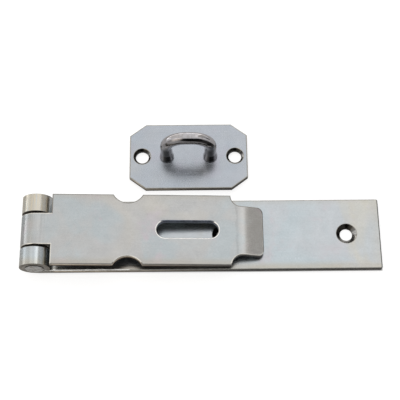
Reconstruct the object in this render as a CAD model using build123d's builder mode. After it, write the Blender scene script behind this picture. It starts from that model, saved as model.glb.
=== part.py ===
"""Padlock hasp with its staple, pressed from zinc plated strip.

The set has two loose halves. The hasp is a long base leaf and a shorter strap that turns on
one hinge pin, held in knuckles rolled from the leaves' own ends. The staple is a plate with
cut corners and a bow of round bar riveted through it.

Millimetres, +Z up. The origin is the middle screw hole of the base leaf, on its mounting
face. The hinge pin lies along Y, at the -X end. The strap is folded back over the base leaf,
with the tip of its lip just clear of the leaf's face.
"""
from build123d import *
from math import acos, atan2, cos, degrees, hypot, radians, sin, tan
import os

# Strip that both leaves are cut from
sheet = 3.0
leaf_width = 36.4
edge_break = 0.35

# Hinge
knuckle_radius = 7.5
middle_knuckle = 16.2
knuckle_gap = 1.0
shoulder_gap = 0.3
seam_gap = 0.3
pin_clearance = 0.05
pin_overhang = 0.7
pin_end_break = 0.5

# Base leaf, which reaches from the pin's axis to its square end
leaf_reach = 170.5
leaf_corner = 0.8
first_hole = 30.25
last_hole_margin = 16.75
leaf_hole_diameter = 6.2
leaf_sink_diameter = 10.2

# Strap, which reaches from the pin's axis to the tip of its lip
strap_reach = 112.0
scallop_to_tip = 66.9
scallop_radius = 8.3
scallop_depth = 4.3
slot_to_tip = 37.6
slot_length = 30.6
slot_width = 8.6
lip_length = 10.7
lip_width = 25.4
lip_corner = 3.0
lip_bend_to_tip = 12.9
lip_bend_radius = 10.0
lip_bend_angle = 13.5
lip_rest_gap = 0.3

# Staple plate
plate_length = 60.5
plate_width = 35.9
plate_sheet = 3.0
plate_cut_x = 8.3
plate_cut_y = 6.3
plate_hole_pitch = 47.7
plate_hole_diameter = 6.7
plate_sink_diameter = 8.9

# Staple bow, with heights from the plate's back
bow_bar = 6.1
bow_pitch = 22.3
bow_height = 27.3
bow_bend_radius = 9.6
foot_diameter = 7.3
foot_height = 1.0
foot_flare = 4.5
foot_undercut = 0.55
tenon_diameter = 5.0
tenon_head_diameter = 6.6
tenon_clearance = 0.05

# Where the staple stands beside the hasp, from the pin's axis and the leaf's centreline
staple_along = 75.3
staple_across = 43.0

# Countersinks take 90 degree flat head screws
sink_angle = 90.0

# Sizes that follow from those above
bore_radius = knuckle_radius - sheet
shoulder = knuckle_radius + shoulder_gap
outer_knuckle = (leaf_width - middle_knuckle) / 2 - knuckle_gap
outer_knuckle_centre = (leaf_width - outer_knuckle) / 2
roll_angle = 360 - degrees(acos((bore_radius - seam_gap) / knuckle_radius))
hole_pitch = (leaf_reach - last_hole_margin - first_hole) / 2
slot_centre = strap_reach - slot_to_tip
scallop_centre = strap_reach - scallop_to_tip
scallop_across = leaf_width / 2 - scallop_depth + scallop_radius
notch_centre = strap_reach - lip_length
notch_radius = (leaf_width - lip_width) / 2
hinge_x = -(first_hole + hole_pitch)
staple_x = hinge_x + staple_along

# The lip is bent down, so that its underside drops by this much at the tip
lip_slope = radians(lip_bend_angle)
lip_bend_start = strap_reach - lip_bend_to_tip
lip_straight = lip_bend_to_tip - lip_bend_radius * sin(lip_slope)
lip_drop = lip_bend_radius * (1 - cos(lip_slope)) + lip_straight * tan(lip_slope)

# The strap leans until the tip of its lip is the rest gap above the base leaf's face
tip_over_axis = bore_radius - lip_drop
tip_drop = knuckle_radius - sheet - lip_rest_gap
strap_lean = acos(-tip_drop / hypot(tip_over_axis, strap_reach)) - atan2(strap_reach, tip_over_axis)

# The side planes look along +Y and the plan planes look down, from the pin and from the staple
pin_centre = Vector(hinge_x, 0, knuckle_radius)
hinge_side = Plane(origin=pin_centre, x_dir=(1, 0, 0), z_dir=(0, -1, 0))
hinge_plan = Plane(origin=pin_centre, x_dir=(1, 0, 0), z_dir=(0, 0, 1))
staple_side = Plane(origin=(staple_x, staple_across, 0), x_dir=(1, 0, 0), z_dir=(0, -1, 0))
staple_plan = Plane(origin=(staple_x, staple_across, 0), x_dir=(1, 0, 0), z_dir=(0, 0, 1))


def span(start, end, width):
    """Draw a rectangle from start to end along the centreline."""
    with Locations(((start + end) / 2, 0)):
        return Rectangle(end - start, width)


def pair(along, across):
    """Two places at the same distance each side of the centreline."""
    return Locations((along, across), (along, -across))


def sheared_rims(part):
    """The edges where an upright sheared wall of a flat lying sheet meets its two faces."""
    walls = part.faces().filter_by(lambda face: abs(face.normal_at().Z) < 1e-6)
    edges = ShapeList(edge for wall in walls for edge in wall.edges())
    return edges.filter_by(Axis.Z, reverse=True)


# Base leaf: a flat strip whose end is rolled up and over the pin, then notched for the strap
with BuildPart() as base_leaf:
    with BuildSketch(hinge_side):
        with BuildLine():
            outside = CenterArc((0, 0), knuckle_radius, -90, -roll_angle)
            inside = CenterArc((0, 0), bore_radius, -90, -roll_angle)
            Line(outside @ 1, inside @ 1)
            face_line = Line(inside @ 0, (leaf_reach, -bore_radius))
            back_line = Line(outside @ 0, (leaf_reach, -knuckle_radius))
            Line(face_line @ 1, back_line @ 1)
        make_face()
    extrude(amount=leaf_width / 2, both=True)
    with BuildSketch(hinge_plan) as leaf_outline:
        span(shoulder, leaf_reach, leaf_width)
        fillet(leaf_outline.vertices().group_by(Axis.X)[-1], leaf_corner)
        with pair(0, outer_knuckle_centre):
            Rectangle(2 * shoulder, outer_knuckle)
    extrude(amount=knuckle_radius, both=True, mode=Mode.INTERSECT)
    chamfer(sheared_rims(base_leaf), edge_break)
    with Locations(*[(hinge_x + first_hole + turn * hole_pitch, 0, sheet) for turn in range(3)]):
        CounterSinkHole(leaf_hole_diameter / 2, leaf_sink_diameter / 2, counter_sink_angle=sink_angle)

# Strap, drawn level with the leaf: the same roll turned over, a slot for the bow, a lip bent down
with BuildPart() as hasp_strap:
    with BuildSketch(hinge_side):
        with BuildLine():
            outside = CenterArc((0, 0), knuckle_radius, 90, roll_angle)
            inside = CenterArc((0, 0), bore_radius, 90, roll_angle)
            Line(outside @ 1, inside @ 1)
            face_line = Line(outside @ 0, (lip_bend_start, knuckle_radius))
            face_bend = JernArc(face_line @ 1, face_line % 1, lip_bend_radius + sheet, -lip_bend_angle)
            face_lip = PolarLine(
                face_bend @ 1, lip_bend_to_tip, direction=face_bend % 1, length_mode=LengthMode.HORIZONTAL
            )
            back_line = Line(inside @ 0, (lip_bend_start, bore_radius))
            back_bend = JernArc(back_line @ 1, back_line % 1, lip_bend_radius, -lip_bend_angle)
            back_lip = PolarLine(
                back_bend @ 1, lip_bend_to_tip, direction=back_bend % 1, length_mode=LengthMode.HORIZONTAL
            )
            Line(face_lip @ 1, back_lip @ 1)
        make_face()
    extrude(amount=leaf_width / 2, both=True)
    with BuildSketch(hinge_plan) as strap_outline:
        span(slot_centre, strap_reach, lip_width)
        fillet(strap_outline.vertices().group_by(Axis.X)[-1], lip_corner)
        span(shoulder, notch_centre, leaf_width)
        span(-shoulder, shoulder, middle_knuckle)
        with pair(notch_centre, leaf_width / 2):
            Circle(notch_radius, mode=Mode.SUBTRACT)
        with pair(scallop_centre, scallop_across):
            Circle(scallop_radius, mode=Mode.SUBTRACT)
        with Locations((slot_centre, 0)):
            SlotOverall(slot_length, slot_width, mode=Mode.SUBTRACT)
    extrude(amount=knuckle_radius, both=True, mode=Mode.INTERSECT)
    chamfer(sheared_rims(hasp_strap), edge_break)

# Hinge pin: one bar through all three knuckles, its hammered ends just proud of them
with BuildPart() as hinge_pin:
    with BuildSketch(hinge_side):
        Circle(bore_radius - pin_clearance)
    extrude(amount=leaf_width / 2 + pin_overhang, both=True)
    chamfer(hinge_pin.edges().filter_by(GeomType.CIRCLE), pin_end_break)

# Staple plate: eight sided, with two countersunk screw holes and two holes for the bow's tenons
with BuildPart() as staple_plate:
    with BuildSketch(staple_plan):
        with BuildLine():
            Polyline(
                (0, plate_width / 2),
                (plate_length / 2 - plate_cut_x, plate_width / 2),
                (plate_length / 2, plate_width / 2 - plate_cut_y),
                (plate_length / 2, 0),
            )
            mirror(about=Plane.YZ)
            mirror(about=Plane.XZ)
        make_face()
    extrude(amount=plate_sheet)
    chamfer(sheared_rims(staple_plate), edge_break)
    with Locations(staple_plan.offset(plate_sheet)):
        with Locations((-plate_hole_pitch / 2, 0), (plate_hole_pitch / 2, 0)):
            CounterSinkHole(
                plate_hole_diameter / 2, plate_sink_diameter / 2, counter_sink_angle=sink_angle
            )
    with Locations(Plane(origin=staple_plan.origin, x_dir=(1, 0, 0), z_dir=(0, 0, -1))):
        with Locations((-bow_pitch / 2, 0), (bow_pitch / 2, 0)):
            CounterSinkHole(
                tenon_diameter / 2 + tenon_clearance,
                tenon_head_diameter / 2 + tenon_clearance,
                counter_sink_angle=sink_angle,
            )

# Staple bow: round bar bent over, each leg swelling to an upset foot above its riveted tenon
with BuildPart() as staple_bow:
    leg = bow_pitch / 2
    bar_radius = bow_bar / 2
    foot_radius = foot_diameter / 2
    foot_top = plate_sheet + foot_height + foot_flare
    with BuildLine(staple_side):
        FilletPolyline(
            (-leg, foot_top),
            (-leg, bow_height - bar_radius),
            (leg, bow_height - bar_radius),
            (leg, foot_top),
            radius=bow_bend_radius,
        )
    with BuildSketch(staple_plan.offset(foot_top)):
        with Locations((-leg, 0)):
            Circle(bar_radius)
    sweep()
    for side in (-1, 1):
        leg_foot = staple_plan.origin + Vector(side * leg, 0, 0)
        with BuildSketch(Plane(origin=leg_foot, x_dir=(1, 0, 0), z_dir=(0, -1, 0))):
            with BuildLine():
                Polyline(
                    (0, foot_top),
                    (bar_radius, foot_top),
                    (foot_radius, plate_sheet + foot_height),
                    (foot_radius, plate_sheet + foot_undercut),
                    (foot_radius - foot_undercut, plate_sheet),
                    (tenon_diameter / 2, plate_sheet),
                    (tenon_diameter / 2, (tenon_head_diameter - tenon_diameter) / 2),
                    (tenon_head_diameter / 2, 0),
                    (0, 0),
                    close=True,
                )
            make_face()
        revolve(axis=Axis(leg_foot, (0, 0, 1)))

# The strap turns down about the pin until its lip rests
hasp_strap.part = hasp_strap.part.rotate(Axis(pin_centre, (0, 1, 0)), degrees(strap_lean))

base_leaf.part.label = "base_leaf"
hasp_strap.part.label = "hasp_strap"
hinge_pin.part.label = "hinge_pin"
staple_plate.part.label = "staple_plate"
staple_bow.part.label = "staple_bow"

os.makedirs("parts", exist_ok=True)
export_step(base_leaf.part, "parts/base_leaf.step")
export_step(hasp_strap.part, "parts/hasp_strap.step")
export_step(hinge_pin.part, "parts/hinge_pin.step")
export_step(staple_plate.part, "parts/staple_plate.step")
export_step(staple_bow.part, "parts/staple_bow.step")
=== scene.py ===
import math

import bmesh
import bpy
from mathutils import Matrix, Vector


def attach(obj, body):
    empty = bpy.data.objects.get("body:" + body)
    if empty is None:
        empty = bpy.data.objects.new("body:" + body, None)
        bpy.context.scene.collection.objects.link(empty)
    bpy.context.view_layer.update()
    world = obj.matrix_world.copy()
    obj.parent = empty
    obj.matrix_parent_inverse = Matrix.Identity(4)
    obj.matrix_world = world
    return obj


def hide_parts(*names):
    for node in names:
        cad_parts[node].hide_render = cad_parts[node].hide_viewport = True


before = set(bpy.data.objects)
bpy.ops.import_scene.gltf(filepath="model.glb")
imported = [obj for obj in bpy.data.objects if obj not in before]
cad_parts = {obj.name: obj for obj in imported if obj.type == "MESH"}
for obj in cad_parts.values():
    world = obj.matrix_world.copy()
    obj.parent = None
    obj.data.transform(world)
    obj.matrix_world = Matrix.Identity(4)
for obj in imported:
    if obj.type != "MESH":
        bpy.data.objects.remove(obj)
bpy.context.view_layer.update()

MM = 0.001

# Sizes in millimetres, as in the CAD. Lengths along a leaf are from the pin's axis.
SHEET = 3.0
HALF_WIDTH = 18.2
PIN = (-92.0, 7.5)
KNUCKLE_RADIUS = 7.5
BORE_RADIUS = 4.5
SHOULDER = 7.8
MIDDLE_KNUCKLE = 16.2
OUTER_KNUCKLE = 9.1
ROLL_DEGREES = 304.06
LEAF_REACH = 170.5
LEAF_CORNER = 0.8
LEAF_HOLES = (30.25, 92.0, 153.75)
STRAP_REACH = 112.0
SCALLOP = (45.1, 22.2, 8.3)
SLOT = (74.4, 30.6, 8.6)
NOTCH = (101.3, 5.5)
LIP_CORNER = 3.0
LIP_BEND = 99.2
LIP_BEND_LENGTH = 7.5
LIP_DEGREES = 14.6
STRAP_LEAN = 3.012
STAPLE = (-16.7, 43.0)
PLATE = (60.5, 35.9, 8.3, 6.3)
PLATE_HOLES = 47.7
BOW_PITCH = 22.3

# Radii of each hole, and of its countersink
LEAF_HOLE = (3.1, 5.1)
PLATE_HOLE = (3.35, 4.45)
TENON_HOLE = (2.55, 3.35)

# The leaf's front rim is rounded wider than elsewhere up to a distance from the hinge
WIDE_RIM = 0.6
WIDE_RIM_SCALE = 1.9
WIDE_RIM_END = 33.0

# How finely curves are cut
ROLL_STEP = 5.0
ARC_STEP = 9.0
LIP_STEP = 0.3
LIP_STEPS = 27
SHARP_ANGLE = 33

MID_RADIUS = (KNUCKLE_RADIUS + BORE_RADIUS) / 2
ROLL_LENGTH = MID_RADIUS * math.radians(ROLL_DEGREES)

# Materials of a sheet piece, by slot
FACE, RIM, HIGHLIGHT_RIM, BURNISHED, TORN, SUNK, SLOT_RIM, SLOT_WALL = range(8)


# Shapes

def arc(centre, radius, start, end):
    """Points along an arc, in degrees, with both ends."""
    count = max(2, round(abs(end - start) / ARC_STEP))
    turns = [math.radians(start + (end - start) * i / count) for i in range(count + 1)]
    return [(centre[0] + radius * math.cos(t), centre[1] + radius * math.sin(t)) for t in turns]


def inset(points, distance):
    """A closed outline moved to its left by a distance."""
    moved = []
    for i, point in enumerate(points):
        before, here, after = (Vector(points[i - 1]), Vector(point), Vector(points[(i + 1) % len(points)]))
        a, b = (here - before).normalized(), (after - here).normalized()
        left_a, left_b = Vector((-a.y, a.x)), Vector((-b.y, b.x))
        mitre = (left_a + left_b) / (1 + left_a.dot(left_b))
        moved.append(tuple(here + mitre * distance))
    return moved


def rim(across, deep, steps=4):
    """A rounded rim as (inset, depth) from the face down to the wall."""
    turns = [math.pi / 2 * i / steps for i in range(steps + 1)]
    return [(across * (1 - math.sin(t)), -deep * (1 - math.cos(t))) for t in turns]


def sheared_wall(across=0.55, deep=0.34, kinds=(RIM, BURNISHED, TORN)):
    """Rolled over rim, a burnished band, a torn band that leans in, and a small round at the back."""
    rolled_over, burnished_band, torn_band = kinds
    steps = rim(across, deep)
    wall = [(*step, rolled_over) for step in steps[:-2]] + [(*steps[-2], burnished_band)]
    wall += [(0.0, -deep, burnished_band), (0.0, -1.45, torn_band), (0.04, -1.9, torn_band)]
    return wall + [(0.02, -2.75, torn_band), (0.06, -2.93, torn_band), (0.16, -SHEET, torn_band)]


def screw_hole(radius, sink):
    """A countersunk hole's wall, from the face to the back."""
    wide = sink - radius
    return [(wide + 0.22, 0.0, RIM), (wide + 0.08, -0.03, RIM), (wide - 0.07, -0.12, SUNK),
            (0.06, -wide + 0.02, SUNK), (0.0, -wide - 0.1, SUNK), (0.0, -2.75, FACE),
            (0.08, -2.92, FACE), (0.25, -SHEET, FACE)]


def tenon_hole(radius, sink):
    """The hole under a bow's foot, widened at the back for the riveted tenon."""
    return [(0.0, 0.0, SUNK), (0.0, sink - radius - SHEET, SUNK), (sink - radius, -SHEET, SUNK)]


def circle(centre, radius):
    """A hole's outline, clockwise so that the sheet is on its left."""
    return arc(centre, radius, 360, 0)[:-1]


def sheet_piece(name, loops, place, stations=(), body="base", rim_highlight_at=lambda u, v: False):
    """A flat sheet made of walled outlines, filled on both faces, cut at stations and then bent by place.

    The last argument says where along the outlines the rim is painted with a highlight.
    """
    made = bmesh.new()
    tops, backs = [], []
    for outline, wall in loops:
        rings = [[made.verts.new((x, y, depth)) for x, y in inset(outline, away)]
                 for away, depth, _ in wall]
        for upper, lower, (_, _, kind) in zip(rings, rings[1:], wall):
            for i in range(len(upper)):
                j = (i + 1) % len(upper)
                made.faces.new((upper[i], lower[i], lower[j], upper[j])).material_index = kind
        for ring, found in ((rings[0], tops), (rings[-1], backs)):
            found += [made.edges.get((ring[i - 1], ring[i])) for i in range(len(ring))]
    bmesh.ops.triangle_fill(made, edges=tops, use_beauty=True, use_dissolve=False, normal=(0, 0, 1))
    bmesh.ops.triangle_fill(made, edges=backs, use_beauty=True, use_dissolve=False, normal=(0, 0, -1))
    for station in stations:
        everything = made.verts[:] + made.edges[:] + made.faces[:]
        bmesh.ops.bisect_plane(made, geom=everything, plane_co=(station, 0, 0), plane_no=(1, 0, 0),
                               dist=1e-5)
    bmesh.ops.recalc_face_normals(made, faces=made.faces)
    for face in made.faces:
        # Rims that the last argument picks get the painted highlight
        u, v, _ = face.calc_center_median()
        if face.material_index == RIM and rim_highlight_at(u, v):
            face.material_index = HIGHLIGHT_RIM
        if face.material_index == SLOT_RIM and v > SLOT[2] / 2 - 0.2:
            face.material_index = SLOT_WALL
    for vertex in made.verts:
        vertex.co = Vector(place(*vertex.co)) * MM
    if made.calc_volume(signed=True) < 0:
        bmesh.ops.reverse_faces(made, faces=made.faces)
    made.normal_update()
    for face in made.faces:
        face.smooth = True
    for edge in made.edges:
        edge.smooth = len(edge.link_faces) != 2 or edge.calc_face_angle(0.0) < math.radians(SHARP_ANGLE)
    mesh = bpy.data.meshes.new(name)
    made.to_mesh(mesh)
    made.free()
    piece = bpy.data.objects.new(name, mesh)
    bpy.context.scene.collection.objects.link(piece)
    smoother = piece.modifiers.new("even shading", "WEIGHTED_NORMAL")
    smoother.keep_sharp = True
    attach(piece, body)
    return piece


def mirrored(half):
    """An outline from its upper half, given from the front end to the back end."""
    return [(u, -v) for u, v in reversed(half)] + list(half)


def rolled(u, v, depth, side):
    """A point of the strip on its roll round the pin. Side is 1 for the strap and -1 for the base leaf."""
    radius = KNUCKLE_RADIUS + depth if side > 0 else BORE_RADIUS - depth
    turn = -min(u, 0.0) / MID_RADIUS
    return max(u, 0.0) - radius * math.sin(turn), v, side * radius * math.cos(turn)


def leaf_place(u, v, depth):
    """Where a point of the flat leaf lies, in millimetres."""
    in_from_front = v + HALF_WIDTH
    if depth > -0.30 and 0 < in_from_front < WIDE_RIM and SHOULDER < u < WIDE_RIM_END:
        v = in_from_front * WIDE_RIM_SCALE - HALF_WIDTH
    x, y, z = rolled(u, v, depth, -1)
    return PIN[0] + x, y, PIN[1] + z


def lip_tilt(along):
    """The lip's slope in radians, which grows fast at first and then ever more slowly over the bend."""
    share = min(max(along / LIP_BEND_LENGTH, 0.0), 1.0)
    return math.radians(LIP_DEGREES) * (1 - (1 - share) ** 1.9)


def lip_drop(along, step=0.05):
    """How far the lip's face has dropped at a distance past the start of the bend."""
    count = max(0, math.ceil(along / step))
    return sum(math.tan(lip_tilt(along * (i + 0.5) / count)) for i in range(count)) * along / max(count, 1)


def strap_place(u, v, depth):
    """Where a point of the flat strap lies, with its lip bent and the strap leaning."""
    x, y, z = rolled(u, v, depth, 1)
    z -= lip_drop(u - LIP_BEND) - depth * (1 / math.cos(lip_tilt(u - LIP_BEND)) - 1)
    lean = math.radians(STRAP_LEAN)
    return (PIN[0] + x * math.cos(lean) + z * math.sin(lean), y,
            PIN[1] + z * math.cos(lean) - x * math.sin(lean))


def plate_place(u, v, depth):
    """Where a point of the staple plate lies."""
    return STAPLE[0] + u, STAPLE[1] + v, SHEET + depth


roll_stations = [-MID_RADIUS * math.radians(turn) for turn in range(0, int(ROLL_DEGREES), int(ROLL_STEP))]

knuckle = HALF_WIDTH - OUTER_KNUCKLE
leaf_outline = arc((LEAF_REACH - LEAF_CORNER, HALF_WIDTH - LEAF_CORNER), LEAF_CORNER, 0, 90)
leaf_outline += [(-ROLL_LENGTH, HALF_WIDTH), (-ROLL_LENGTH, knuckle), (SHOULDER, knuckle)]
leaf_loops = [(mirrored(leaf_outline), sheared_wall())]
leaf_loops += [(circle((u, 0), LEAF_HOLE[0]), screw_hole(*LEAF_HOLE)) for u in LEAF_HOLES]
leaf_stations = [SHOULDER + 0.5, 18.0, 32.0, 46.0]


def leaf_rim_highlight_at(u, v):
    """Where the leaf's rim gets a painted highlight: the outer knuckles, and the front as far as the last
    station.
    """
    return u < (SHOULDER if v > 1 - HALF_WIDTH else leaf_stations[-1])


leaf = sheet_piece("leaf_sheet", leaf_loops, leaf_place, roll_stations + leaf_stations,
                   rim_highlight_at=leaf_rim_highlight_at)
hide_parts("base_leaf")

dip = math.degrees(math.asin((SCALLOP[1] - HALF_WIDTH) / SCALLOP[2]))
strap_outline = arc((STRAP_REACH - LIP_CORNER, HALF_WIDTH - NOTCH[1] - LIP_CORNER), LIP_CORNER, 0, 90)
strap_outline += arc((NOTCH[0], HALF_WIDTH), NOTCH[1], -90, -180)
strap_outline += arc(SCALLOP[:2], SCALLOP[2], -dip, dip - 180)
strap_outline += [(SHOULDER, HALF_WIDTH), (SHOULDER, MIDDLE_KNUCKLE / 2),
                  (-ROLL_LENGTH, MIDDLE_KNUCKLE / 2)]
half_slot = SLOT[1] / 2 - SLOT[2] / 2
slot_outline = arc((SLOT[0] + half_slot, 0), SLOT[2] / 2, 90, -90)
slot_outline += arc((SLOT[0] - half_slot, 0), SLOT[2] / 2, -90, -270)
slot_wall = sheared_wall(0.58, 0.36, (SLOT_RIM, SLOT_WALL, SLOT_WALL))
strap_loops = [(mirrored(strap_outline), sheared_wall()), (slot_outline, slot_wall)]
lip_stations = [LIP_BEND + LIP_STEP * step for step in range(LIP_STEPS)]


def strap_rim_highlight_at(u, v):
    """Where the strap's rim gets a painted highlight: the front scallop, notch and lip, and the middle
    knuckle.
    """
    return 1 - HALF_WIDTH < v < (OUTER_KNUCKLE if u < SHOULDER + 1 else 0)


strap = sheet_piece("strap_sheet", strap_loops, strap_place, roll_stations + lip_stations,
                    body="strap", rim_highlight_at=strap_rim_highlight_at)
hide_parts("hasp_strap")

length, width, cut_x, cut_y = PLATE
plate_outline = [(length / 2, 0.0), (length / 2, width / 2 - cut_y), (length / 2 - cut_x, width / 2),
                 (cut_x - length / 2, width / 2), (-length / 2, width / 2 - cut_y), (-length / 2, 0.0)]
plate_outline += [(u, -v) for u, v in reversed(plate_outline[1:-1])]
plate_loops = [(plate_outline, sheared_wall())]
for side in (-1, 1):
    plate_loops.append((circle((side * PLATE_HOLES / 2, 0), PLATE_HOLE[0]), screw_hole(*PLATE_HOLE)))
    plate_loops.append((circle((side * BOW_PITCH / 2, 0), TENON_HOLE[0]), tenon_hole(*TENON_HOLE)))
plate = sheet_piece("plate_sheet", plate_loops, plate_place)
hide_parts("staple_plate")


# Materials

class Nodes:
    """Adds linked nodes to a node tree."""

    def __init__(self, tree):
        self.tree = tree
        tree.nodes.clear()

    def node(self, kind, values=None, **settings):
        made = self.tree.nodes.new("ShaderNode" + kind)
        for key, value in settings.items():
            setattr(made, key, value)
        for key, value in (values or {}).items():
            if isinstance(value, bpy.types.NodeSocket):
                self.tree.links.new(value, made.inputs[key])
            else:
                made.inputs[key].default_value = value
        return made

    def math(self, operation, first, second=0.0):
        return self.node("Math", {0: first, 1: second}, operation=operation).outputs[0]

    def total(self, *values):
        """The sum of several values."""
        found = values[0]
        for value in values[1:]:
            found = self.math("ADD", found, value)
        return found

    def times(self, *values):
        """The product of several values."""
        found = values[0]
        for value in values[1:]:
            found = self.math("MULTIPLY", found, value)
        return found

    def ramp(self, value, low, high, to_low=0.0, to_high=1.0, smooth=True):
        kind = "SMOOTHSTEP" if smooth else "LINEAR"
        inputs = {"Value": value, "From Min": low, "From Max": high, "To Min": to_low, "To Max": to_high}
        return self.node("MapRange", inputs, interpolation_type=kind).outputs["Result"]

    def spread(self, noise, low, high):
        """Noise, most of which lies from 0.3 to 0.7, spread evenly from low to high."""
        return self.ramp(noise, 0.3, 0.7, low, high, False)

    def noise(self, place, scale, detail=2.0, roughness=0.5, distortion=0.0):
        inputs = {"Vector": place, "Scale": scale, "Detail": detail, "Roughness": roughness,
                  "Distortion": distortion}
        return self.node("TexNoise", inputs).outputs["Fac"]

    def moved(self, place, shift=(0, 0, 0), turn=(0, 0, 0), scale=(1, 1, 1)):
        inputs = {"Vector": place, "Location": shift, "Rotation": turn, "Scale": scale}
        return self.node("Mapping", inputs).outputs["Vector"]

    def blend(self, share, first, second, mode="MIX"):
        made = self.node("Mix", {0: share}, data_type="RGBA", blend_type=mode)
        # The mix node's colour sockets
        for socket, value in ((made.inputs[6], first), (made.inputs[7], second)):
            if isinstance(value, bpy.types.NodeSocket):
                self.tree.links.new(value, socket)
            else:
                socket.default_value = (*value, 1.0)
        return made.outputs[2]

    def shaded(self, colour, value):
        """A colour times a value."""
        grey = self.node("CombineColor", {0: value, 1: value, 2: value}).outputs[0]
        return self.blend(1.0, colour, grey, "MULTIPLY")

    def split(self, vector):
        return self.node("SeparateXYZ", {0: vector}).outputs

    def metal(self, colour, roughness, height, distance):
        """A metal surface with a fine relief, whose height is in units of distance, in millimetres."""
        bump = self.node("Bump", {"Height": height, "Strength": 1.0, "Distance": distance * MM})
        values = {"Base Color": colour, "Metallic": 1.0, "Roughness": roughness, "Normal": bump.outputs[0]}
        shader = self.node("BsdfPrincipled", values)
        self.node("OutputMaterial", {"Surface": shader.outputs[0]})

    def millimetres(self, shift=0.0):
        """Object coordinates in millimetres."""
        place = self.node("TexCoord").outputs["Object"]
        return self.moved(place, shift=(shift * 37.0, shift * 11.0, shift * 5.0), scale=(1 / MM,) * 3)


def blank_material(name):
    """A new material and what adds its nodes."""
    made = bpy.data.materials.new(name)
    made.use_nodes = True
    return made, Nodes(made.node_tree)


def zinc_face(name, base, tints, seed, roughness=0.20, edge_tint=(0.53, 0.485, 0.40),
              rear_share=0.25, bend_at=None):
    """Zinc plate on rolled strip: cloudy tints, rolling lines, forming lines on the roll, scratches.

    Rear share is how much the rear edge is tinted, and bend at is where a darker line runs along the bend.
    """
    material, f = blank_material(name)
    true_place = f.millimetres()
    place = f.millimetres(seed)

    clouds = f.noise(place, 0.045, 3.0, 0.55, 0.6)
    wide_clouds = f.noise(f.moved(place, shift=(91.0, 47.0, 13.0)), 0.030, 2.0, 0.5, 0.8)
    patches = f.noise(f.moved(place, shift=(17.0, 83.0, 29.0)), 0.060, 3.0, 0.6, 0.3)
    colour = f.blend(f.ramp(clouds, 0.42, 0.66), base, tints[0])
    colour = f.blend(f.ramp(wide_clouds, 0.50, 0.70), colour, tints[1])
    colour = f.blend(f.ramp(patches, 0.56, 0.72), colour, tints[2])

    # Warmer and duller towards the front edge and the far end, where the bath drained
    x, y = f.split(true_place)["X"], f.split(true_place)["Y"]
    front = f.ramp(y, -13.5, 1 - HALF_WIDTH, 0.0, 0.70)
    rear = f.ramp(y, HALF_WIDTH - 4, HALF_WIDTH, 0.0, rear_share)
    end = f.ramp(x, 70.0, 78.5, 0.0, 0.35)
    edge = f.math("MAXIMUM", f.math("MAXIMUM", front, rear), end)
    edge = f.times(edge, f.ramp(patches, 0.25, 0.55, 0.5, 1.0))
    colour = f.blend(edge, colour, edge_tint)

    rolling = f.noise(f.moved(place, scale=(0.015, 1.0, 1.0)), 0.9, 4.0, 0.6)
    grain = f.noise(place, 1.4, 5.0, 0.65)
    blotches = f.noise(place, 0.16, 3.0, 0.6)
    on_roll = f.ramp(x, PIN[0] + 3.0, PIN[0] + SHOULDER, 1.0, 0.0)
    forming = f.noise(f.moved(place, scale=(1.0, 0.04, 1.0)), 0.8, 5.0, 0.7)
    forming_fine = f.noise(f.moved(place, scale=(1.0, 0.03, 1.0)), 3.0, 3.0, 0.6)
    forming_depth = f.times(on_roll, f.spread(forming, -0.16, 0.16))

    # A painted highlight: a bright line near the top of the front knuckle
    knuckle_highlight = f.times(f.ramp(x, PIN[0] + 0.9, PIN[0] + 1.5), f.ramp(x, PIN[0] + 2.8, PIN[0] + 2.2),
                          f.ramp(y, -9.0, -9.6), f.ramp(forming_fine, 0.3, 0.6, 0.6, 1.0))
    value = f.total(1.0, f.spread(rolling, -0.02, 0.02), f.spread(grain, -0.05, 0.05),
                    f.spread(blotches, -0.04, 0.04), forming_depth, f.times(knuckle_highlight, 0.36))
    # A darker, wavering line along the bend
    if bend_at is not None:
        wavering = f.ramp(blotches, 0.3, 0.7, bend_at - 0.35, bend_at + 0.35)
        away = f.math("ABSOLUTE", f.math("SUBTRACT", x, wavering))
        bend_line_darkening = f.times(f.ramp(away, 0.1, 1.1, 0.13, 0.0), f.ramp(patches, 0.35, 0.60, 0.25, 1.0))
        value = f.math("SUBTRACT", value, bend_line_darkening)
    colour = f.shaded(colour, value)

    # The rear knuckle is warmer
    rear_knuckle = f.ramp(y, 8.6, 9.6)
    warm_roll = f.times(on_roll, rear_knuckle, f.ramp(forming_fine, 0.35, 0.62, 0.25, 1.0))
    colour = f.blend(warm_roll, colour, (0.70, 0.63, 0.50))

    # Scratches three ways
    scratch = None
    for turn, stretch, shift in ((0.12, 0.02, 3.0), (-0.5, 0.03, 11.0), (1.2, 0.03, 23.0)):
        turned = f.moved(place, shift=(shift, shift, 0), turn=(0, 0, turn))
        line = f.ramp(f.noise(f.moved(turned, scale=(stretch, 1.0, 1.0)), 2.2, 2.0, 0.5), 0.70, 0.76)
        scratch = f.math("MAXIMUM", scratch, line) if scratch else line
    colour = f.blend(f.times(scratch, 0.20), colour, (0.70, 0.70, 0.70))

    rough = f.total(f.ramp(x, PIN[0] + 3.0, PIN[0] + SHOULDER, 0.25, roughness),
                    f.spread(rolling, -0.03, 0.03), f.spread(clouds, -0.03, 0.03),
                    f.spread(grain, -0.02, 0.02))
    height = f.total(f.times(grain, 0.12), f.times(rolling, 0.25), f.times(scratch, -0.30),
                     f.times(forming, on_roll, 3.0))
    f.metal(colour, rough, height, 0.006)
    return material


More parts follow.
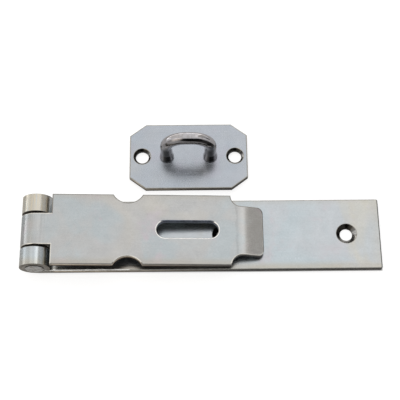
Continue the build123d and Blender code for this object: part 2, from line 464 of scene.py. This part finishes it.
def cut_metal(name, pale, dark, brown, roughness, seed):
    """A sheared wall: fine upright tearing and dull zinc, browner towards the hinge."""
    material, f = blank_material(name)
    place = f.millimetres(seed)
    x = f.split(f.millimetres())["X"]
    hingeward = f.ramp(x, -80.0, 20.0, 1.0, 0.0)
    knuckle_end = f.ramp(x, PIN[0] + 7, PIN[0] + 10, 1.0, 0.0)
    torn = f.noise(f.moved(place, scale=(1.0, 1.0, 0.25)), 1.6, 5.0, 0.7)
    stain = f.noise(place, 0.18, 3.0, 0.6)
    colour = f.blend(f.ramp(torn, 0.35, 0.68), dark, pale)
    colour = f.blend(f.times(hingeward, 0.9), colour, brown)
    colour = f.blend(knuckle_end, colour, (0.30, 0.275, 0.24))
    colour = f.shaded(colour, f.spread(stain, 0.75, 1.25))
    rough = f.spread(torn, roughness - 0.08, roughness + 0.10)
    f.metal(colour, rough, torn, 0.05)
    return material


def sunk_metal(name, base, seed):
    """A drilled countersink, painted dark as shade on its slopes that face front and right."""
    material, f = blank_material(name)
    place = f.millimetres(seed)
    rings = f.noise(f.moved(place, scale=(0.2, 0.2, 1.0)), 5.0, 3.0, 0.6)
    stain = f.noise(place, 0.8, 4.0, 0.6)
    normal = f.split(f.node("TexCoord").outputs["Normal"])
    # Painted shade: darker as the slope faces front and right
    shade_facing = f.math("SUBTRACT", f.times(normal["X"], 0.55), f.times(normal["Y"], 0.83))
    colour = f.blend(f.ramp(shade_facing, -0.25, 0.25, 0.0, 0.97), base, (0.02, 0.018, 0.015))
    colour = f.shaded(colour, f.spread(stain, 0.75, 1.15))
    f.metal(colour, f.spread(rings, 0.10, 0.18), rings, 0.02)
    return material


def rim_metal(name, base, seed):
    """A rolled over rim, unevenly worn, and painted darker at the leaf's far end as shade on the edge
    there.
    """
    material, f = blank_material(name)
    place = f.millimetres(seed)
    rub = f.noise(place, 0.35, 4.0, 0.6)
    fine = f.noise(place, 2.5, 3.0, 0.6)
    value = f.total(f.spread(rub, 0.80, 1.10), f.spread(fine, -0.06, 0.06))
    # Painted shade on the rim at the leaf's far end
    far_end_shade = f.ramp(f.split(f.millimetres())["X"], 77.7, 78.0, 1.0, 0.40)
    colour = f.shaded(base, f.times(value, far_end_shade))
    f.metal(colour, f.spread(fine, 0.14, 0.26), fine, 0.01)
    return material


def bar_steel(name, base, dark, roughness, seed, painted_dark):
    """Drawn bar, plated smooth, with dull spots and fine orange peel, and painted black where the mask of
    painted shade and reflection says.
    """
    material, f = blank_material(name)
    place = f.millimetres(seed)
    spots = f.noise(place, 0.7, 4.0, 0.6)
    fine = f.noise(place, 4.0, 3.0, 0.6)
    colour = f.blend(f.ramp(spots, 0.46, 0.70), base, dark)
    # Painted shade and dark reflection: black where the mask says
    colour = f.blend(painted_dark(f), colour, (0.02, 0.018, 0.018))
    rough = f.total(roughness, f.spread(spots, -0.02, 0.06))
    height = f.total(f.times(spots, 1.0), f.times(fine, 0.10))
    f.metal(colour, rough, height, 0.04)
    return material


rim_dull = rim_metal("rolled rim", (0.42, 0.41, 0.38), 9.0)
# Painted shade: a darker copy of the rim, for the strap
strap_rim_shade = rim_metal("strap edge shade", (0.31, 0.30, 0.28), 9.0)
# Painted highlights: paler copies of the rim, for the picked rims and round the slot
strap_rim_highlight = rim_metal("strap edge highlight", (0.76, 0.74, 0.69), 9.0)
pale_rim_highlight = rim_metal("pale edge highlight", (0.95, 0.94, 0.91), 9.0)
burnished = cut_metal("burnished edge", (0.07, 0.055, 0.045), (0.02, 0.016, 0.013),
                      (0.95, 0.84, 0.68), 0.30, 4.0)
torn = cut_metal("torn edge", (0.03, 0.023, 0.018), (0.008, 0.006, 0.005),
                 (0.12, 0.07, 0.03), 0.50, 5.0)
slot_side = cut_metal("slot side", (0.26, 0.28, 0.33), (0.05, 0.06, 0.09),
                      (0.14, 0.16, 0.21), 0.42, 10.0)
sunk = sunk_metal("countersink", (0.50, 0.49, 0.47), 6.0)
faces = {
    leaf: zinc_face("leaf zinc", (0.56, 0.59, 0.615),
                    [(0.54, 0.60, 0.63), (0.60, 0.585, 0.53), (0.58, 0.57, 0.60)], 1.0, roughness=0.22),
    strap: zinc_face("strap zinc", (0.52, 0.52, 0.515),
                     [(0.49, 0.53, 0.545), (0.56, 0.54, 0.505), (0.55, 0.51, 0.535)], 2.0,
                     edge_tint=(0.48, 0.455, 0.40), rear_share=0.50, bend_at=6.9),
    plate: zinc_face("plate zinc", (0.475, 0.505, 0.55),
                     [(0.45, 0.495, 0.55), (0.50, 0.52, 0.54), (0.49, 0.49, 0.55)], 3.0,
                     roughness=0.26, edge_tint=(0.48, 0.51, 0.56)),
}
for piece, face in faces.items():
    rims = (strap_rim_shade, strap_rim_highlight) if piece == strap else (rim_dull, pale_rim_highlight)
    for material in (face, *rims, burnished, torn, sunk, pale_rim_highlight, slot_side):
        piece.data.materials.append(material)


def pin_side_shade(f):
    """The pin's side is painted black as shade inside the knuckles, and its ends are not."""
    normal = f.split(f.node("TexCoord").outputs["Normal"])["Y"]
    return f.ramp(f.math("ABSOLUTE", normal), 0.35, 0.85, 1.0, 0.0)


def bow_shade_and_reflection(f):
    """Painted black: shade in the seam under the bow's feet, and dark reflection up the front of its legs
    and along the crown's front.
    """
    x, _, height = f.split(f.millimetres())
    facing = f.split(f.node("TexCoord").outputs["Normal"])["Y"]
    crown = f.times(f.ramp(facing, -0.42, -0.52), f.ramp(facing, -0.93, -0.80),
                    f.ramp(x, STAPLE[0] - 8, STAPLE[0] + 1, 0.30, 0.985),
                    f.ramp(height, SHEET + 13, SHEET + 17))
    patches = f.noise(f.moved(f.millimetres(8.0), scale=(1.0, 1.0, 0.2)), 0.5, 3.0, 0.6)
    legs = f.times(f.ramp(height, SHEET + 11, SHEET + 18, 1.0, 0.0), f.ramp(patches, 0.35, 0.65, 0.92, 1.0),
                   f.ramp(facing, -0.94, -0.72, 1.0, 0.50))
    seam = f.ramp(height, SHEET + 0.15, SHEET + 0.70, 0.97, 0.0)
    return f.math("MAXIMUM", seam, f.math("MAXIMUM", legs, crown))


bars = {
    "hinge_pin": bar_steel("pin steel", (0.66, 0.65, 0.63), (0.42, 0.39, 0.35), 0.35, 7.0, pin_side_shade),
    "staple_bow": bar_steel("bow steel", (0.50, 0.485, 0.50), (0.40, 0.38, 0.38), 0.08, 8.0, bow_shade_and_reflection),
}
for name, material in bars.items():
    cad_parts[name].material_slots[0].material = material


# Stage, light and camera

def stage_material(lit, shown, mirrored_glow):
    """Pale floor: takes shadows as a plain colour, and adds its own white to camera and mirror rays.

    To camera rays it adds none under the folded strap, where the slot looks into the dark, and less
    in a thin line along the leaf's front as a painted shadow where it meets the floor, fainter towards the
    hinge.
    """
    material, f = blank_material("stage")
    path = f.node("LightPath").outputs
    x, y, _ = f.split(f.millimetres())
    strap_middle, strap_half = -38.0, 50.0
    along_strap = f.math("ABSOLUTE", f.math("SUBTRACT", x, strap_middle))
    clear_of_strap = f.math("MAXIMUM", f.ramp(along_strap, strap_half, strap_half + 4.0),
                            f.ramp(f.math("ABSOLUTE", y), 16.0, 17.5))
    # Painted shadow: less white in a thin line along the leaf's front, where it meets the floor
    painted_contact_shadow = f.times(f.ramp(y, -HALF_WIDTH - 0.55, -HALF_WIDTH - 0.20), f.ramp(y, -16.5, -17.0),
                      f.ramp(x, -60.0, 30.0, 0.25, 0.85),
                      f.ramp(x, -93.0, -90.0), f.ramp(x, 79.3, 78.3))
    to_camera = f.times(path["Is Camera Ray"], shown, clear_of_strap, f.math("SUBTRACT", 1.0, painted_contact_shadow))
    glow = f.total(to_camera, f.times(path["Is Glossy Ray"], mirrored_glow))
    diffuse = f.node("BsdfDiffuse", {"Color": (lit, lit, lit, 1.0)})
    glow = f.node("Emission", {"Color": (1, 1, 1, 1), "Strength": glow})
    both = f.node("AddShader", {0: diffuse.outputs[0], 1: glow.outputs[0]})
    f.node("OutputMaterial", {"Surface": both.outputs[0]})
    return material


floor_mesh = bpy.data.meshes.new("floor")
reach = 4.0
floor_mesh.from_pydata(
    [(-reach, -reach, 0), (reach, -reach, 0), (reach, reach, 0), (-reach, reach, 0)], [], [(0, 1, 2, 3)])
floor = bpy.data.objects.new("floor", floor_mesh)
bpy.context.scene.collection.objects.link(floor)
floor.data.materials.append(stage_material(0.40, 0.78, 0.20))


def lamp(name, place, size, power):
    """A soft box aimed at the set's middle."""
    light = bpy.data.lights.new(name, "AREA")
    light.shape = "RECTANGLE"
    light.size, light.size_y = size
    light.energy = power
    made = bpy.data.objects.new(name, light)
    made.location = place
    towards = Vector((-0.01, 0.02, 0.0)) - Vector(place)
    made.rotation_euler = towards.to_track_quat("-Z", "Y").to_euler()
    bpy.context.scene.collection.objects.link(made)
    made.visible_glossy = False


lamp("back box", (-0.10, 0.75, 0.85), (0.5, 0.4), 1.2)


def sky():
    """Studio round the set: a white ceiling, a brighter back, strip lights behind, a dimmer even front."""
    made = bpy.data.worlds.new("studio")
    made.use_nodes = True
    f = Nodes(made.node_tree)
    direction = f.split(f.node("TexCoord").outputs["Generated"])

    def profile(angle, stops):
        """Levels by angle in degrees. Levels are kept at half in the ramp, as they pass 1."""
        share = f.ramp(angle, -math.pi, math.pi, 0.0, 1.0, False)
        ramp = f.node("ValToRGB", {0: share})
        marks = ramp.color_ramp.elements
        while len(marks) < len(stops):
            marks.new(0.5)
        for mark, (degrees, level, warmth) in zip(marks, stops):
            mark.position = (degrees + 180) / 360
            mark.color = (level / 2, level / 2 * (1 - 0.10 * warmth), level / 2 * (1 - 0.24 * warmth), 1)
        return ramp.outputs[0]

    sideways = f.math("ARCSINE", direction["X"])
    tilt = f.math("ARCTAN2", direction["Y"], direction["Z"])
    across = profile(sideways, (
        (-90, 0.45, 0), (-74, 0.60, 0), (-68, 1.15, 0), (-62, 1.22, 0), (-57, 0.80, 0.2), (-46, 0.78, 0.3),
        (-28, 0.90, 0.3), (-12, 0.95, 0.1), (0, 0.97, 0), (8, 0.99, 0), (15, 1.04, 0.1), (20, 1.18, 0.1),
        (24, 1.26, 0.1), (27, 1.12, 0.2), (29.5, 0.72, 0.4), (31.5, 0.55, 0.5), (50, 0.52, 0),
        (60, 0.48, 0), (66, 0.16, 0), (72, 0.06, 0), (90, 0.05, 0)))
    along = profile(tilt, (
        (-180, 0.20, 0), (-90, 0.80, 0), (-72, 0.68, 0), (-60, 0.52, 0), (-29, 0.40, 0), (-18, 0.82, 0),
        (-10, 0.98, 0.1), (0, 1.0, 0), (21, 1.0, 0), (60, 1.0, 0), (77, 1.1, 0), (83, 2.2, 0),
        (98, 2.2, 0), (112, 0.4, 0), (180, 0.20, 0)))

    def patch(towards, inner, outer):
        """A round patch of the sky, with its full and its outer edge in degrees from the middle."""
        facing = f.node("VectorMath", {0: f.node("TexCoord").outputs["Generated"], 1: towards},
                        operation="DOT_PRODUCT").outputs["Value"]
        return f.ramp(facing, math.cos(math.radians(outer)), math.cos(math.radians(inner)))

    # The strips end at the middle, and the front is even from side to side
    across = f.blend(f.ramp(direction["Y"], 0.28, -0.02), across, (0.46, 0.46, 0.46))
    level = f.blend(1.0, across, along, "MULTIPLY")

    # Two dark patches and a cream card in front
    for towards, inner, outer, share in (((0.05, -0.808, 0.587), 18, 22.5, 0.96),
                                         ((0.50, -0.60, 0.62), 14, 19.5, 0.93)):
        level = f.blend(f.times(patch(towards, inner, outer), share), level, (0, 0, 0))
    card = f.blend(patch((-0.56, -0.53, 0.635), 12, 30), (0, 0, 0), (0.19, 0.17, 0.145))
    level = f.blend(1.0, level, card, "ADD")
    path = f.node("LightPath").outputs["Is Camera Ray"]
    colour = f.blend(path, level, (0.25, 0.25, 0.25))
    background = f.node("Background", {"Color": colour, "Strength": 4.0})
    f.node("OutputWorld", {0: background.outputs[0]})
    return made


bpy.context.scene.world = sky()

azimuth, elevation = math.radians(-0.56), math.radians(68.42)
aim = Vector((-0.01106, 0.01982, 0.0))
back = Vector((math.sin(azimuth) * math.cos(elevation), -math.cos(azimuth) * math.cos(elevation),
               math.sin(elevation)))
camera = bpy.data.objects.new("camera", bpy.data.cameras.new("camera"))
camera.data.lens = 86.73
camera.data.clip_start = 0.01
camera.location = aim + back * 0.49004
camera.rotation_euler = (-back).to_track_quat("-Z", "Y").to_euler()
bpy.context.scene.collection.objects.link(camera)
bpy.context.scene.camera = camera
bpy.context.scene.view_settings.view_transform = "Standard"
